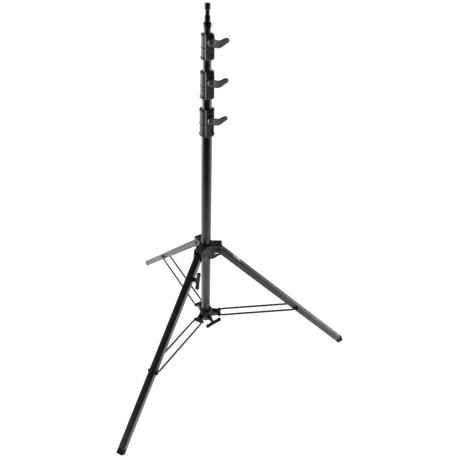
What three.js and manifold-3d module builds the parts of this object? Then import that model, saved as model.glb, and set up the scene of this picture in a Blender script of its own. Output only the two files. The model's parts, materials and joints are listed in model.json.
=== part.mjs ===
// A steel lighting stand ("baby stand"): a base column with three telescoping risers and a 16 mm
// spigot, and three square legs that fold against the column with a sliding spreader and rod braces.
// Millimetres, +Z up. The stand is built round its column axis and then set on its own footprint.

import * as THREE from 'three';
import { mergeVertices } from 'three/addons/utils/BufferGeometryUtils.js';
import Module from 'manifold-3d';

const wasm = await Module();
wasm.setup();

// ---- driving dimensions ----

const gap = 0.3;              // between two pieces that touch or are fastened together
const slideGap = 0.5;         // between two telescoping tubes, on each side
const tubeWall = 2;

const columnRadius = 17.5;    // base tube
const baseTubeBottom = 152;
const collarBottom = [981, 1103, 1219];         // the collar on the base tube, riser 1 and riser 2
const collarHeight = [87, 81, 71];
const columnTop = 1305;                         // where riser 3 ends and the spigot's flange sits
const tubeDrop = 12;          // a collar's lever axis above the end of the tube that it sits on
const capNeck = 12;           // end cap inside the base tube
const guideSkirt = 8;         // guide bush below its riser
const guideNeck = 18;         // guide bush inside its riser

const collarWall = 5;
const collarFlange = 2.4;
const blockWidth = 25;
const blockReach = 6.5;       // how far the clamp block's face stands out past the collar
const clampTurn = -67;        // degrees, the side of the column that the clamp levers are on
const leverDrop = [27, 25, 17];                 // lever axis below each collar's top
const leverThickness = 7;
const leverHubRadius = 11;
const clampScrewRadius = 3.5;
const setScrewRadius = 2.2;

const spigotRadius = 8;
const spigotNeckRadius = 6;
const spigotFlangeRadius = 11.5;
const spigotLength = 65;
const spigotInsert = 45;
const pinRecess = 0.2;        // ends of the spigot's pin below the face of riser 3

const legAzimuth = [0, 120, 240];               // right, rear, front left (the levelling leg)
const legNames = ['right', 'rear', 'front'];
const levellingLeg = 2;
const legSize = 25;
const legWall = 1.5;
const legCorner = 2.5;
const legTail = 9;            // leg above its pivot bolt
const footRadius = 588;       // column axis to the centre of a leg's lower end
const footCut = 2;            // how far the foot's lower corner is flattened for the floor
const footLength = 22;
const footPlug = 24;

const hingeRadius = 46;
const hingeHeight = 522;
const pivotBoltRadius = 4;
const shoulderHeight = 66;
const shoulderWall = 8;
const shoulderScrewTurn = -60;
const cheekThickness = 5;
const roofThickness = 5;
const roofReach = 58;
const roofDrop = 2;           // roofs below the top of the hub
const roofClearance = 0.6;    // over the upper corner of a turning leg
const hingeClearance = 0.4;   // each side of a leg in its clevis

const braceReach = 448;       // leg pivot to brace rivet, along the leg
const spreaderPivotRadius = 55;
const spreaderHeight = 181;   // of the brace pivots
const rodRadius = 4;
const rodClearance = 0.7;     // between a leg and the brace rods beside it
const eyeRadius = 7.5;
const eyeThickness = 5;
const braceBoltRadius = 3;
const foldedAngle = 76.3;     // degrees below horizontal, leg folded against the column

const spreaderHubRadius = 26;
const spreaderHubHeight = 40;
const spreaderKnobTurn = -60;
const spreaderKnobDrop = 5;   // knob axis below the brace pivots
const knobBarLength = 67;
const knobBarRadius = 7.6;
const knobStemRadius = 6;
const knobScrewRadius = 4;
const spreaderKnobRadius = 64;
const spreaderBarTilt = 11;
const bossRadius = 9.5;

const levellingKnobReach = 93;                  // leg pivot to levelling knob, along the leg
const levellingBossHeight = 8.5;                // off the side of the leg
const levellingKnobStand = 12;                  // knob bar beyond the boss
const levellingBarTilt = -10;                   // degrees from upright
const innerLegTop = 20;                         // upper end of the inner leg, from the leg pivot

const round = 24;             // sides of a turned piece
const smallRound = 12;
const castRound = 30;         // sides of the casting hubs

// ---- worked out from the above ----

// The leg's slope below horizontal puts the flattened corner of its foot on the floor.
let legAngle = Math.PI / 4;
for (let pass = 0; pass < 8; pass += 1) {
  const footHeight = legSize / 2 * Math.cos(legAngle) - footCut;
  legAngle = Math.atan2(hingeHeight - footHeight, footRadius - hingeRadius);
}
const legLength = (footRadius - hingeRadius) / Math.cos(legAngle);
const legTubeEnd = legLength - footLength;
const braceEndRadius = hingeRadius + braceReach * Math.cos(legAngle);
const braceEndHeight = hingeHeight - braceReach * Math.sin(legAngle);
const braceLength = Math.hypot(braceEndRadius - spreaderPivotRadius, braceEndHeight - spreaderHeight);
const braceAngle = Math.atan2(braceEndHeight - spreaderHeight, braceEndRadius - spreaderPivotRadius);
const shoulderTop = hingeHeight + Math.hypot(legTail, legSize / 2) + roofClearance + roofThickness
  + roofDrop;
const cheekInner = legSize / 2 + hingeClearance;
const cheekOuter = cheekInner + cheekThickness;
const eyeInner = legSize / 2 + slideGap;
const rodOffset = legSize / 2 + rodClearance + rodRadius;
const levellingBossReach = legSize / 2 + levellingBossHeight;
const levellingKnobOffset = levellingBossReach + levellingKnobStand;
const eyeOuter = eyeInner + eyeThickness;
const tubeRadius = [0, 1, 2, 3].map((i) => columnRadius - i * (tubeWall + slideGap));
const collarTop = collarBottom.map((z, i) => z + collarHeight[i]);
const tubeTop = [0, 1, 2].map((i) => collarTop[i] - leverDrop[i] - tubeDrop).concat(columnTop);
const boreRadius = tubeRadius.map((r) => r - tubeWall);
const tubeBottom = [baseTubeBottom, baseTubeBottom + capNeck + guideSkirt + gap];
tubeBottom.push(tubeBottom[1] + guideNeck + guideSkirt + gap);
tubeBottom.push(tubeBottom[2] + guideNeck + guideSkirt + gap);

// ---- materials ----

const paint = (name, color, roughness, metalness) =>
  new THREE.MeshStandardMaterial({ name, color, roughness, metalness });
const tubeCoat = () => paint('satin black tube', 0x2a2a2d, 0.42, 0.5);
const castCoat = () => paint('dark casting', 0x343436, 0.6, 0.35);
const leverCoat = () => paint('grey lever', 0x5d5d62, 0.45, 0.6);
const knobPlastic = () => paint('knob plastic', 0x3c3c3e, 0.6, 0);
const rubber = () => paint('black rubber', 0x161616, 0.85, 0);
const zincSteel = () => paint('blackened screw', 0x2c2c30, 0.35, 0.9);
const bareSteel = () => paint('bright steel', 0x9a9a9e, 0.3, 1);
const nylon = () => paint('black nylon', 0x1c1c1e, 0.6, 0);
const brass = () => paint('brass', 0xa98d4e, 0.4, 1);

// ---- geometry helpers ----

// Welded copy with position only, without empty triangles and with its faces turned outwards.
function closed(geometry) {
  const bare = geometry.index ? geometry.clone() : mergeVertices(geometry.clone(), 0);
  for (const name of Object.keys(bare.attributes)) {
    if (name !== 'position') bare.deleteAttribute(name);
  }
  const welded = mergeVertices(bare, 1e-4);
  const index = [];
  const source = welded.index.array;
  for (let i = 0; i < source.length; i += 3) {
    const [a, b, c] = [source[i], source[i + 1], source[i + 2]];
    if (a !== b && b !== c && c !== a) index.push(a, b, c);
  }
  const p = welded.attributes.position;
  const [va, vb, vc] = [new THREE.Vector3(), new THREE.Vector3(), new THREE.Vector3()];
  let volume = 0;
  for (let i = 0; i < index.length; i += 3) {
    va.fromBufferAttribute(p, index[i]);
    vb.fromBufferAttribute(p, index[i + 1]);
    vc.fromBufferAttribute(p, index[i + 2]);
    volume += va.dot(vb.cross(vc));
  }
  if (volume < 0) {
    for (let i = 0; i < index.length; i += 3) {
      [index[i + 1], index[i + 2]] = [index[i + 2], index[i + 1]];
    }
  }
  welded.setIndex(index);
  return welded;
}

function toSolid(geometry) {
  const welded = closed(geometry);
  return new wasm.Manifold(new wasm.Mesh({
    numProp: 3,
    vertProperties: new Float32Array(welded.attributes.position.array),
    triVerts: new Uint32Array(welded.index.array),
  }));
}

function toGeometry(solid) {
  const mesh = solid.getMesh();
  const geometry = new THREE.BufferGeometry();
  geometry.setAttribute('position', new THREE.BufferAttribute(new Float32Array(mesh.vertProperties), 3));
  geometry.setIndex(Array.from(mesh.triVerts));
  return geometry;
}

function join(...geometries) {
  return toGeometry(geometries.map(toSolid).reduce((all, one) => all.add(one)));
}

function cut(geometry, ...tools) {
  return toGeometry(tools.map(toSolid).reduce((all, one) => all.subtract(one), toSolid(geometry)));
}

// A turned piece round Z from [radius, height] pairs. A profile off the axis closes on itself.
function turned(profile, sides = round) {
  const points = profile.map(([r, h]) => new THREE.Vector2(r, h));
  const onAxis = profile[0][0] === 0 && profile[profile.length - 1][0] === 0;
  if (!onAxis) points.push(points[0].clone());
  return new THREE.LatheGeometry(points, sides).rotateX(Math.PI / 2);
}

function ring(outer, inner, z0, z1, sides = round) {
  return turned([[inner, z0], [outer, z0], [outer, z1], [inner, z1]], sides);
}

function rod(radius, z0, z1, sides = smallRound) {
  return turned([[0, z0], [radius, z0], [radius, z1], [0, z1]], sides);
}

const alongX = (geometry) => geometry.rotateY(Math.PI / 2);
const alongY = (geometry) => geometry.rotateX(-Math.PI / 2);

function box(x0, x1, y0, y1, z0, z1) {
  const geometry = new THREE.BoxGeometry(x1 - x0, y1 - y0, z1 - z0);
  return geometry.translate((x0 + x1) / 2, (y0 + y1) / 2, (z0 + z1) / 2);
}

// Draws a rounded rectangle into a shape or a hole, centred on the origin.
function roundedRect(path, width, height, radius) {
  const [x, y] = [width / 2, height / 2];
  path.moveTo(x, -y + radius);
  path.lineTo(x, y - radius);
  path.absarc(x - radius, y - radius, radius, 0, Math.PI / 2);
  path.lineTo(-x + radius, y);
  path.absarc(-x + radius, y - radius, radius, Math.PI / 2, Math.PI);
  path.lineTo(-x, -y + radius);
  path.absarc(-x + radius, -y + radius, radius, Math.PI, 1.5 * Math.PI);
  path.lineTo(x - radius, -y);
  path.absarc(x - radius, -y + radius, radius, 1.5 * Math.PI, 2 * Math.PI);
  return path;
}

// A square bar along X from x0 to x1, and a square tube.
function squareBar(size, corner, x0, x1, hole = null) {
  const shape = roundedRect(new THREE.Shape(), size, size, corner);
  if (hole) shape.holes.push(hole);
  const geometry = new THREE.ExtrudeGeometry(shape, { depth: x1 - x0, bevelEnabled: false, curveSegments: 3 });
  return geometry.rotateY(Math.PI / 2).translate(x0, 0, 0);
}

function squareTube(size, wall, corner, x0, x1) {
  const bore = roundedRect(new THREE.Path(), size - 2 * wall, size - 2 * wall, corner - wall / 2);
  return squareBar(size, corner, x0, x1, bore);
}

// A plate drawn in the X-Z plane, from y0 to y1.
function sidePlate(shape, y0, y1, segments = 4) {
  const geometry = new THREE.ExtrudeGeometry(shape,
    { depth: y1 - y0, bevelEnabled: false, curveSegments: segments });
  return geometry.rotateX(Math.PI / 2).translate(0, y1, 0);
}

// ---- scene graph helpers ----

const stand = new THREE.Group();

function frameAt(turnDegrees, x = 0, z = 0, tilt = 0, parent = stand) {
  const turn = new THREE.Group();
  turn.rotation.z = turnDegrees * Math.PI / 180;
  const place = new THREE.Group();
  place.position.set(x, 0, z);
  place.rotation.y = tilt;
  turn.add(place);
  parent.add(turn);
  return place;
}

function addPiece(name, geometry, material, parent = stand) {
  const mesh = new THREE.Mesh(closed(geometry), material);
  mesh.name = name;
  parent.add(mesh);
  return mesh;
}

// ---- column: base tube, risers and their guide bushes ----

function addColumnTubes() {
  for (let i = 0; i < 4; i += 1) {
    let tube = ring(tubeRadius[i], boreRadius[i], tubeBottom[i], tubeTop[i]);
    if (i === 3) tube = cut(tube, alongY(rod(2 + gap, -20, 20)).translate(0, 0, columnTop - 25));
    addPiece(i === 0 ? 'base_tube' : `riser_${i}_tube`, tube, tubeCoat());
  }
  const neck = boreRadius[0] - gap;
  const capTop = tubeBottom[0] - gap;
  addPiece('base_end_cap', turned([
    [0, capTop - 5], [tubeRadius[0] - 1.5, capTop - 5], [tubeRadius[0], capTop - 3.5], [tubeRadius[0], capTop],
    [neck, capTop], [neck, capTop + capNeck], [0, capTop + capNeck],
  ]), rubber());
}

// The guide bush hangs under a riser: its skirt slides in the tube outside, its neck is in the riser.
function addGuide(i) {
  const skirt = boreRadius[i - 1] - gap;
  const neck = boreRadius[i] - gap;
  const top = tubeBottom[i] - gap;
  const floor = top - guideSkirt;
  addPiece(`riser_${i}_guide`, turned([
    [neck - 2, floor], [skirt - 1, floor], [skirt, floor + 1.5], [skirt, top],
    [neck, top], [neck, top + guideNeck], [neck - 2, top + guideNeck],
  ]), nylon());
}

// ---- collars and their clamp levers ----

function collarGeometry(i) {
  const [z0, z1] = [collarBottom[i], collarTop[i]];
  const body = tubeRadius[i] + collarWall;
  const rim = body + collarFlange;
  const middle = z0 + collarHeight[i] * 0.46;
  const shell = turned([
    [0, z0], [rim - 3, z0], [rim, z0 + 3], [rim, z0 + 6], [body, z0 + 8.5], [body, middle - 2],
    [body + 1, middle - 1], [body + 1, middle + 1], [body, middle + 2], [body - 0.6, z1 - 7],
    [body + 0.8, z1 - 5], [body + 0.8, z1 - 1.5], [body - 0.7, z1], [0, z1],
  ]);
  const face = body + blockReach;
  const block = box(0, face, -blockWidth / 2, blockWidth / 2, z0 + 1.5, z1 + 3);
  const leverHeight = z1 - leverDrop[i];
  const boss = alongX(rod(leverHubRadius - 1, face - 1, face + 1.5, round)).translate(0, 0, leverHeight);
  const trim = new THREE.Shape();
  trim.moveTo(face + 1, z0 + 1);
  trim.lineTo(face + 1, z0 + 5.5);
  trim.lineTo(body, z0 + 1);
  const topTrim = new THREE.Shape();
  topTrim.moveTo(face + 1, z1 + 4);
  topTrim.lineTo(body - 1, z1 + 4);
  topTrim.lineTo(face + 1, z1 - 3);
  const outer = join(shell, cut(block, sidePlate(trim, -20, 20), sidePlate(topTrim, -20, 20)), boss);
  return cut(outer,
    rod(tubeRadius[i] + gap, z0 - 10, tubeTop[i] + gap, round),
    rod(tubeRadius[i + 1] + gap, z0, z1 + 10, round),
    alongX(rod(clampScrewRadius + gap, 0, face + 5)).translate(0, 0, leverHeight),
    alongX(rod(setScrewRadius + gap, 0, face + 5)).translate(0, 4, z0 + collarHeight[i] * 0.26));
}

function leverOutline() {
  const shape = new THREE.Shape();
  shape.moveTo(0, leverHubRadius);
  shape.bezierCurveTo(8, 12, 16, 5, 25, 4.5);
  shape.bezierCurveTo(31, 4.5, 35, 8.5, 41, 8);
  shape.bezierCurveTo(48, 7.5, 53, 4, 53, -1);
  shape.lineTo(40, -9);
  shape.bezierCurveTo(35, -13, 30, -15.5, 25, -15.5);
  shape.bezierCurveTo(16, -15.5, 9, -13, 3, -leverHubRadius + 0.4);
  shape.absarc(0, 0, leverHubRadius, -Math.PI / 2 + 0.3, -1.5 * Math.PI, true);
  return shape;
}

function addClamp(i) {
  const body = tubeRadius[i] + collarWall;
  const hubBack = body + blockReach + 1.5 + gap;
  const hubFront = hubBack + leverThickness;
  const axisHeight = collarTop[i] - leverDrop[i];
  const padEnd = tubeRadius[i + 1] + gap + 3;
  const side = frameAt(clampTurn, 0, axisHeight);
  addPiece(`collar_${i + 1}`, collarGeometry(i).translate(0, 0, -axisHeight), castCoat(), side);
  addPiece(`clamp_pad_${i + 1}`,
    alongX(rod(clampScrewRadius, padEnd - 3, padEnd)), brass(), side);
  const bevel = 1.5;
  const wing = new THREE.ExtrudeGeometry(leverOutline(), {
    depth: leverThickness - 2 * bevel, bevelThickness: bevel, bevelSize: bevel, bevelOffset: -bevel,
    bevelSegments: 1, curveSegments: 5,
  });
  const upright = new THREE.Matrix4().makeBasis(
    new THREE.Vector3(0, 1, 0), new THREE.Vector3(0, 0, 1), new THREE.Vector3(1, 0, 0));
  wing.applyMatrix4(upright).translate(hubBack + bevel, 0, 0);
  const hub = alongX(rod(leverHubRadius - 1.5, hubBack, hubFront + 3, round));
  const lever = cut(join(wing, hub),
    alongX(rod(clampScrewRadius + gap, 0, 80)),
    alongX(rod(6 + gap, hubFront - 1, 80)));
  addPiece(`lever_${i + 1}`, lever, leverCoat(), side);
  addPiece(`clamp_screw_${i + 1}`, alongX(join(
    rod(clampScrewRadius, padEnd + gap, hubFront - 0.5),
    turned([[0, hubFront - 1 + gap], [6, hubFront - 1 + gap], [6, hubFront + 2.5],
      [4.5, hubFront + 3.5], [0, hubFront + 3.5]]))), zincSteel(), side);
  const setHeight = collarBottom[i] + collarHeight[i] * 0.26 - axisHeight;
  addPiece(`collar_set_screw_${i + 1}`,
    alongX(rod(setScrewRadius, tubeRadius[i] + 0.7, body + blockReach - 1)).translate(0, 4, setHeight),
    zincSteel(), side);
}

// ---- spigot ----

function addSpigot() {
  const insert = boreRadius[3] - gap;
  const seat = columnTop + gap;
  const top = columnTop + spigotLength;
  addPiece('spigot', cut(turned([
    [0, seat - spigotInsert], [insert - 1, seat - spigotInsert], [insert, seat - spigotInsert + 1.5],
    [insert, seat], [tubeRadius[3] + 0.5, seat], [spigotFlangeRadius, seat + 8],
    [spigotFlangeRadius, seat + 13], [spigotFlangeRadius - 1.5, seat + 15], [spigotRadius, seat + 15],
    [spigotRadius, seat + 30], [spigotNeckRadius, seat + 33], [spigotNeckRadius, seat + 47],
    [spigotRadius, seat + 50.5], [spigotRadius, top - 2], [spigotRadius - 2, top], [0, top],
  ]), alongY(rod(2 + gap, -20, 20)).translate(0, 0, columnTop - 25)), castCoat());
  const pinEnd = tubeRadius[3] - pinRecess;
  addPiece('spigot_pin', alongY(rod(2, -pinEnd, pinEnd)).translate(0, 0, columnTop - 25), bareSteel());
}

// ---- shoulder casting and leg pivots ----

function cheekShape() {
  const shape = new THREE.Shape();
  const bottom = shoulderTop - shoulderHeight;
  shape.moveTo(19, shoulderTop - roofDrop);
  shape.lineTo(roofReach - 3, shoulderTop - roofDrop);
  shape.quadraticCurveTo(roofReach, shoulderTop - roofDrop, roofReach + 0.5, shoulderTop - 5);
  shape.lineTo(hingeRadius + 16, hingeHeight - 12);
  shape.quadraticCurveTo(hingeRadius + 15, hingeHeight - 19, hingeRadius + 8, hingeHeight - 22);
  shape.bezierCurveTo(hingeRadius - 4, hingeHeight - 29, 34, bottom + 4, 19, bottom + 1);
  const window_ = new THREE.Path();
  const [wx, wz] = [hingeRadius - 7, hingeHeight - 16];
  window_.moveTo(wx + 4, wz - 3.5);
  window_.absarc(wx + 4, wz, 3.5, -Math.PI / 2, Math.PI / 2);
  window_.absarc(wx - 4, wz, 3.5, Math.PI / 2, 1.5 * Math.PI);
  shape.holes.push(window_);
  return shape;
}

function shoulderArm(azimuth) {
  const cheek = cheekShape();
  const bottom = shoulderTop - shoulderHeight;
  const roofStart = 19;
  const arm = cut(join(
    sidePlate(cheek, -cheekOuter, -cheekInner),
    sidePlate(cheek, cheekInner, cheekOuter),
    box(roofStart, roofReach, -cheekOuter, cheekOuter, shoulderTop - roofDrop - roofThickness, shoulderTop - roofDrop),
    box(roofStart, 33, -cheekOuter, cheekOuter, bottom + 5, bottom + 14)),
  alongY(rod(pivotBoltRadius + gap, -40, 40)).translate(hingeRadius, 0, hingeHeight),
  alongY(rod(7.2, -40, -cheekOuter + 2, round)).translate(hingeRadius, 0, hingeHeight),
  alongY(rod(7.2, cheekOuter - 2, 40, round)).translate(hingeRadius, 0, hingeHeight));
  return arm.rotateZ(azimuth * Math.PI / 180);
}

function addShoulder() {
  const bottom = shoulderTop - shoulderHeight;
  const hub = tubeRadius[0] + gap + shoulderWall;
  const shell = turned([
    [0, bottom], [hub - 3, bottom], [hub, bottom + 3], [hub, shoulderTop - 2], [hub - 2, shoulderTop],
    [0, shoulderTop],
  ], castRound);
  const screw = (radius, from, to) =>
    alongX(rod(radius, from, to)).translate(0, 0, bottom + 18).rotateZ(shoulderScrewTurn * Math.PI / 180);
  const casting = cut(join(shell, ...legAzimuth.map(shoulderArm)),
    rod(tubeRadius[0] + gap, 0, 700, castRound),
    turned([[0, shoulderTop - 9], [tubeRadius[0] + 1, shoulderTop - 9], [hub - 3.5, shoulderTop + 1],
      [0, shoulderTop + 1]], castRound),
    screw(3 + gap, 10, 60));
  addPiece('shoulder_casting', casting, castCoat());
  addPiece('shoulder_screw', screw(3, tubeRadius[0] + gap, hub + 1.2), zincSteel());
}

// ---- legs ----

function footGeometry(plugSize) {
  const corner = 4;
  const profile = new THREE.Shape();
  const [x0, x1, z] = [legTubeEnd + gap, legLength, legSize / 2];
  profile.moveTo(x0, -z);
  profile.lineTo(x1 - corner / 2, -z);
  profile.quadraticCurveTo(x1, -z, x1, -z + corner / 2);
  profile.lineTo(x1, z - corner);
  profile.quadraticCurveTo(x1, z, x1 - corner, z);
  profile.lineTo(x0, z);
  const plug = squareBar(plugSize, legCorner, legTubeEnd - footPlug, x0 + 1);
  const floor = box(-60, 60, -60, 60, -60, 0);
  floor.translate(footRadius, 0, 0).translate(-hingeRadius, 0, -hingeHeight).rotateY(-legAngle);
  return cut(join(sidePlate(profile, -z, z), plug), floor);
}

function addLeg(i) {
  const place = frameAt(legAzimuth[i], hingeRadius, hingeHeight, legAngle);
  const levelling = i === levellingLeg;
  const pivotHole = alongY(rod(pivotBoltRadius + gap, -30, 30));
  const knobHole = alongY(rod(knobScrewRadius + gap, 0, 30)).translate(levellingKnobReach, 0, 0);
  const tube = squareTube(legSize, legWall, legCorner, -legTail, legTubeEnd);
  addPiece(levelling ? 'leg_front_outer' : `leg_${legNames[i]}`,
    levelling ? cut(tube, pivotHole, knobHole) : cut(tube, pivotHole), tubeCoat(), place);
  const bore = legSize - 2 * legWall;
  const innerSize = bore - 2 * slideGap;
  const plugSize = (levelling ? innerSize - 2 * legWall : bore) - 2 * gap;
  if (levelling) {
    addPiece('leg_front_inner',
      squareTube(innerSize, legWall, legCorner - 0.5, innerLegTop, legTubeEnd), tubeCoat(), place);
    addLevellingKnob(place, innerSize);
  }
  addPiece(`foot_${legNames[i]}`, footGeometry(plugSize), rubber(), place);
}

function addPivotBolt(i) {
  const place = frameAt(legAzimuth[i], hingeRadius, hingeHeight);
  const seat = cheekOuter - 2 + gap;
  const bolt = join(rod(pivotBoltRadius, -seat - 1, seat + 5),
    turned([[0, -seat - 4], [5.4, -seat - 4], [6.4, -seat - 3], [6.4, -seat], [0, -seat]], smallRound));
  const nut = rod(6.5, seat, seat + 4, 6);
  addPiece(`leg_pivot_bolt_${legNames[i]}`, alongY(join(bolt, nut)), zincSteel(), place);
}

// ---- T-knobs ----

// A T-knob along +X, its bar centred on x = reach, its stem starting at x = stemStart.
function knobGeometry(stemStart, reach, tilt) {
  const half = knobBarLength / 2;
  const bar = alongY(turned([
    [0, -half], [knobBarRadius - 1.5, -half], [knobBarRadius, -half + 1.5], [knobBarRadius, -half + 10],
    [knobBarRadius - 0.8, -half + 16], [knobBarRadius - 0.8, half - 16], [knobBarRadius, half - 10],
    [knobBarRadius, half - 1.5], [knobBarRadius - 1.5, half], [0, half],
  ], 24)).translate(reach, 0, 0).rotateX(tilt);
  const stem = alongX(turned([[0, stemStart], [knobStemRadius + 1, stemStart],
    [knobStemRadius, stemStart + 4], [knobStemRadius, reach], [0, reach]], 24));
  return cut(join(bar, stem), alongX(rod(knobScrewRadius + gap, 0, reach - 1)));
}

function addLevellingKnob(place, innerSize) {
  const bossStart = legSize / 2 + gap;
  const screwTip = innerSize / 2 + gap;
  const spot = new THREE.Group();
  spot.position.x = levellingKnobReach;
  spot.rotation.z = Math.PI / 2;
  place.add(spot);
  addPiece('levelling_boss',
    alongX(ring(bossRadius, knobScrewRadius + gap, bossStart, levellingBossReach)), castCoat(), spot);
  addPiece('levelling_knob',
    knobGeometry(levellingBossReach + gap, levellingKnobOffset,
      Math.PI / 2 - legAngle + levellingBarTilt * Math.PI / 180), knobPlastic(), spot);
  addPiece('levelling_screw',
    alongX(rod(knobScrewRadius, screwTip, levellingKnobOffset - 1 - gap)), zincSteel(), spot);
}

// ---- spreader and braces ----

function addSpreader() {
  const z0 = spreaderHeight - spreaderHubHeight / 2;
  const z1 = spreaderHeight + spreaderHubHeight / 2;
  const bore = tubeRadius[0] + slideGap;
  const knobHeight = spreaderHeight - spreaderKnobDrop;
  const bossEnd = spreaderKnobRadius - 24;
  const hub = turned([
    [0, z0], [spreaderHubRadius - 2, z0], [spreaderHubRadius, z0 + 2], [spreaderHubRadius, z1 - 2],
    [spreaderHubRadius - 2, z1], [0, z1],
  ], castRound);
  const lug = (azimuth) => {
    const shape = new THREE.Shape();
    shape.moveTo(18, spreaderHeight - 13);
    shape.lineTo(34, spreaderHeight - 11);
    shape.quadraticCurveTo(44, spreaderHeight - eyeRadius, spreaderPivotRadius, spreaderHeight - eyeRadius);
    shape.absarc(spreaderPivotRadius, spreaderHeight, eyeRadius, -Math.PI / 2, Math.PI / 2);
    shape.quadraticCurveTo(44, spreaderHeight + eyeRadius, 34, spreaderHeight + 11);
    shape.lineTo(18, spreaderHeight + 13);
    const web = sidePlate(shape, -legSize / 2, legSize / 2);
    const hole = alongY(rod(braceBoltRadius + gap, -30, 30)).translate(spreaderPivotRadius, 0, spreaderHeight);
    return cut(web, hole).rotateZ(azimuth * Math.PI / 180);
  };
  const knobTurn = spreaderKnobTurn * Math.PI / 180;
  const boss = alongX(rod(bossRadius, 20, bossEnd, 24)).translate(0, 0, knobHeight).rotateZ(knobTurn);
  const screwHole = alongX(rod(knobScrewRadius + gap, 10, bossEnd + 5)).translate(0, 0, knobHeight)
    .rotateZ(knobTurn);
  addPiece('spreader_casting', cut(join(hub, boss, ...legAzimuth.map(lug)),
    rod(bore, 100, 260, castRound), screwHole), castCoat());

  const spot = frameAt(spreaderKnobTurn, 0, knobHeight);
  addPiece('spreader_knob', knobGeometry(bossEnd + gap, spreaderKnobRadius, spreaderBarTilt * Math.PI / 180),
    knobPlastic(), spot);
  addPiece('spreader_screw',
    alongX(rod(knobScrewRadius, tubeRadius[0] + gap, spreaderKnobRadius - 1 - gap)), zincSteel(), spot);
}

function braceRod(side) {
  const reach = braceLength - eyeRadius + 1;
  const bar = alongX(rod(rodRadius, eyeRadius - 1, reach)).translate(0, side * rodOffset, 0);
  const eye = (x) => {
    const disc = rod(eyeRadius, Math.min(side * eyeInner, side * eyeOuter), Math.max(side * eyeInner,
      side * eyeOuter));
    return alongY(disc).translate(x, 0, 0);
  };
  const hole = (x) => alongY(rod(braceBoltRadius + gap, -30, 30)).translate(x, 0, 0);
  return cut(join(bar, eye(0), eye(braceLength)),
    hole(0), hole(braceLength),
    alongY(rod(eyeRadius + 1, side > 0 ? eyeOuter : -60, side > 0 ? 60 : -eyeOuter)),
    alongY(rod(eyeRadius + 1, side > 0 ? eyeOuter : -60, side > 0 ? 60 : -eyeOuter))
      .translate(braceLength, 0, 0));
}

function addBrace(i) {
  const place = frameAt(legAzimuth[i], spreaderPivotRadius, spreaderHeight, -braceAngle);
  addPiece(`brace_rod_${legNames[i]}_left`, braceRod(1), tubeCoat(), place);
  addPiece(`brace_rod_${legNames[i]}_right`, braceRod(-1), tubeCoat(), place);
  const headStart = eyeOuter + gap;
  const rivet = () => turned([[0, legSize / 2 + gap], [braceBoltRadius, legSize / 2 + gap],
    [braceBoltRadius, headStart], [5.5, headStart], [5.5, headStart + 1], [4, headStart + 2.2],
    [0, headStart + 2.8]], smallRound);
  addPiece(`brace_rivet_${legNames[i]}_left`,
    alongY(rivet()).translate(braceLength, 0, 0), zincSteel(), place);
  addPiece(`brace_rivet_${legNames[i]}_right`,
    alongY(rivet()).rotateZ(Math.PI).translate(braceLength, 0, 0), zincSteel(), place);
  const flat = frameAt(legAzimuth[i], spreaderPivotRadius, spreaderHeight);
  const bolt = join(rod(braceBoltRadius, -headStart - 1, headStart + 4.5),
    rod(5.5, -headStart - 3, -headStart, 6));
  const nut = rod(5.5, headStart, headStart + 3.4, 6);
  addPiece(`spreader_bolt_${legNames[i]}`, alongY(join(bolt, nut)), zincSteel(), flat);
}

// ---- assembly ----

addColumnTubes();
for (const i of [1, 2, 3]) addGuide(i);
for (const i of [0, 1, 2]) addClamp(i);
addSpigot();
addShoulder();
for (const i of [0, 1, 2]) {
  addLeg(i);
  addPivotBolt(i);
  addBrace(i);
}
addSpreader();

// The origin goes to the middle of the footprint, on the floor.
stand.updateMatrixWorld(true);
const bounds = new THREE.Box3().setFromObject(stand, true);
stand.position.set(-(bounds.min.x + bounds.max.x) / 2, -(bounds.min.y + bounds.max.y) / 2, -bounds.min.z);

const part = new THREE.Group();
part.add(stand);
export default part;
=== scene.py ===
# A black steel lighting stand: telescoping column, wing-lever clamps and three folding legs.
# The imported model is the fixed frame. Each piece below stands for one of its nodes.

import json
import math

import bmesh
import bpy
from mathutils import Matrix, Vector


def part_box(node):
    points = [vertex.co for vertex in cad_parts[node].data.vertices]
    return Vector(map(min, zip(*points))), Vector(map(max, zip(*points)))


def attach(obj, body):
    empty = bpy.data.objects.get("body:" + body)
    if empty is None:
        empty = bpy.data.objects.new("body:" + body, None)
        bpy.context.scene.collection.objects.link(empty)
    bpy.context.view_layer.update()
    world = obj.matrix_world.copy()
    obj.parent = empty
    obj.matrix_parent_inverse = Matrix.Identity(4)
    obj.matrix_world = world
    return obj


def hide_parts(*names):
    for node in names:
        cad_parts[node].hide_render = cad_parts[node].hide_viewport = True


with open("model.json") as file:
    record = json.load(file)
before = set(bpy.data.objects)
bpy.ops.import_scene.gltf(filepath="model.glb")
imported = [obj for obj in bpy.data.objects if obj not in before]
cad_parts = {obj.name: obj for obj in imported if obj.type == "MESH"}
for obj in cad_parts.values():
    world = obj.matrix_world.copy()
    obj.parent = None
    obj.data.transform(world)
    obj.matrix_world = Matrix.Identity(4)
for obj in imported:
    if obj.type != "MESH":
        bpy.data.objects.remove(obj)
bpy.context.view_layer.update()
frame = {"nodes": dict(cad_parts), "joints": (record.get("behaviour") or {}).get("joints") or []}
nodes = frame["nodes"]
joints = {joint["name"]: joint for joint in frame["joints"]}
mm = 0.001
legNames = ("right", "rear", "front")
print("frame loaded:", len(nodes), "nodes")


# Places, all read from the frame
def jointPlace(name):
    return Vector(joints[name]["pos_m"]), Vector(joints[name]["axis"]).normalized()


def placeMatrix(origin, xAxis, yAxis):
    zAxis = xAxis.cross(yAxis)
    turn = Matrix((xAxis, yAxis, zAxis)).transposed()
    return Matrix.Translation(origin) @ turn.to_4x4()


def nodeMiddle(node):
    low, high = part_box(node)
    return (low + high) / 2


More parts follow.
